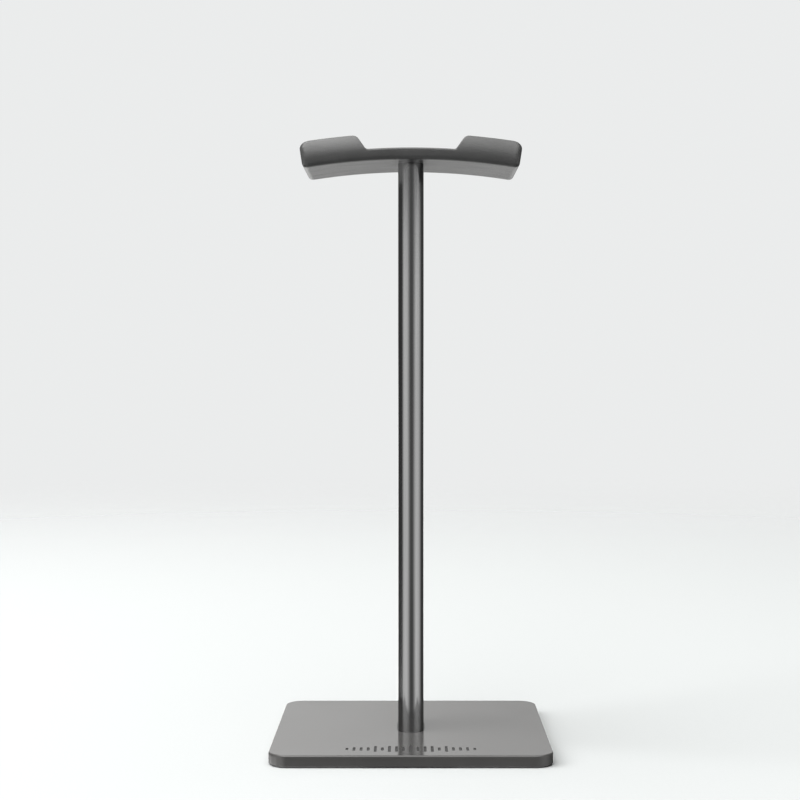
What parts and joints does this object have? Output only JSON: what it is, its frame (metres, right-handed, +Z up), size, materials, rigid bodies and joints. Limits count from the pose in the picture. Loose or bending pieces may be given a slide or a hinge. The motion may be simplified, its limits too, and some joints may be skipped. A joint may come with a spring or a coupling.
{
  "type": "headphone stand",
  "caption": "Desktop headphone stand: weighted rectangular base, oval upright pole and an arched trough-shaped headrest with raised ears that keep the band from slipping off.",
  "frame": {"origin": "centre of the footprint, on the table under the feet", "axes": "+Z up, the front edge with the mark faces -Y, +X to the viewer's right; the headrest runs along X"},
  "size_m": [0.12, 0.1, 0.2682],
  "materials": {
    "cover_plastic": "dark gunmetal grey, glossy",
    "ballast_steel": "zinc plated sheet",
    "bottom_plastic": "matt moulded black",
    "screw_steel": "bright zinc",
    "foot_rubber": "matt black",
    "pole_aluminium": "satin dark grey anodised, lengthways extrusion grain",
    "plug_plastic": "matt",
    "insert_brass": "turned",
    "headrest_rubber": "satin dark grey thermoplastic rubber"
  },
  "bodies": {
    "root": {"base_cover": "cover_plastic", "ballast_plate": "ballast_steel", "base_bottom": "bottom_plastic", "base_screws": "screw_steel", "foot_front_left": "foot_rubber", "foot_front_right": "foot_rubber", "foot_back_left": "foot_rubber", "foot_back_right": "foot_rubber", "pole_screw": "screw_steel", "pole_tube": "pole_aluminium", "pole_bottom_plug": "plug_plastic", "pole_bottom_insert": "insert_brass", "pole_top_plug": "plug_plastic", "pole_top_insert": "insert_brass", "headrest": "headrest_rubber", "headrest_plate": "ballast_steel", "headrest_screw": "screw_steel", "headrest_cap": "headrest_rubber"}
  },
  "joints": []
}
